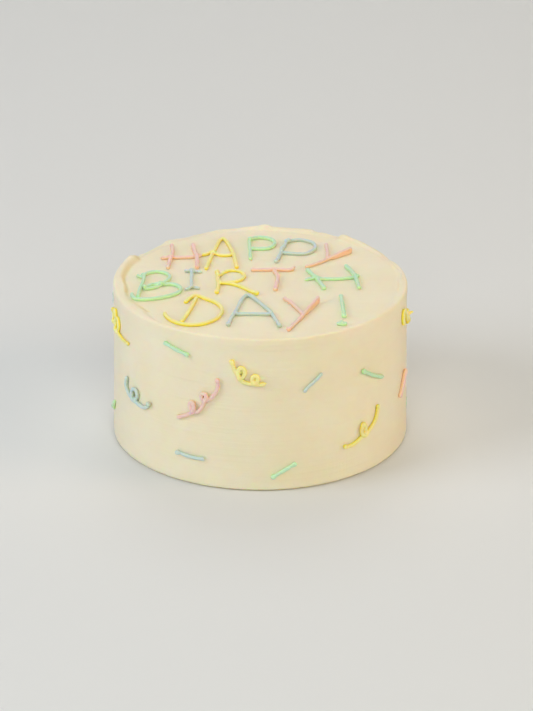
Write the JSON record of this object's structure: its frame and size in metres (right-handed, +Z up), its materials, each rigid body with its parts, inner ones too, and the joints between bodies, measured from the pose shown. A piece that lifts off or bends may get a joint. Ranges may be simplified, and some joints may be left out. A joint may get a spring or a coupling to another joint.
{
  "type": "birthday cake",
  "caption": "Round buttercream birthday cake with a piped birthday greeting on its top and short piped dashes and curled streamers round its side.",
  "frame": {"origin": "centre of the cake's flat base", "axes": "+Z up through the middle of the cake; -Y is the front, from which the greeting reads upright; +X is to the right"},
  "size_m": [0.2023, 0.2047, 0.1112],
  "materials": {
    "buttercream": "satin vanilla buttercream, scraped smooth",
    "icing_pink": "satin piped buttercream, dusty pink",
    "icing_yellow": "satin piped buttercream, warm yellow",
    "icing_green": "satin piped buttercream, mint green",
    "icing_blue": "satin piped buttercream, pale grey-blue"
  },
  "bodies": {
    "root": {"cake": "buttercream", "letter_h_1": "icing_pink", "letter_a_1": "icing_yellow", "letter_p_1": "icing_green", "letter_p_2": "icing_blue", "letter_y_1": "icing_pink", "letter_b": "icing_green", "letter_i": "icing_blue", "letter_r": "icing_yellow", "letter_t": "icing_pink", "letter_h_2": "icing_green", "letter_d": "icing_yellow", "letter_a_2": "icing_blue", "letter_y_2": "icing_pink", "mark_stroke": "icing_green", "mark_dot": "icing_green", "dash_01": "icing_green", "dash_02": "icing_blue", "dash_03": "icing_green", "dash_04": "icing_blue", "dash_05": "icing_green", "dash_06": "icing_pink", "dash_07": "icing_green", "dash_08": "icing_green", "dash_09": "icing_blue", "dash_10": "icing_pink", "dash_11": "icing_blue", "dash_12": "icing_green", "dash_13": "icing_pink", "dash_14": "icing_blue", "dash_15": "icing_green", "dash_16": "icing_yellow", "dash_17": "icing_blue", "dash_18": "icing_pink", "dash_19": "icing_green", "dash_20": "icing_yellow", "streamer_01": "icing_yellow", "streamer_02": "icing_pink", "streamer_03": "icing_blue", "streamer_04": "icing_yellow", "streamer_05": "icing_yellow", "streamer_06": "icing_yellow", "streamer_07": "icing_yellow", "streamer_08": "icing_pink", "streamer_09": "icing_blue", "streamer_10": "icing_green"}
  },
  "joints": []
}
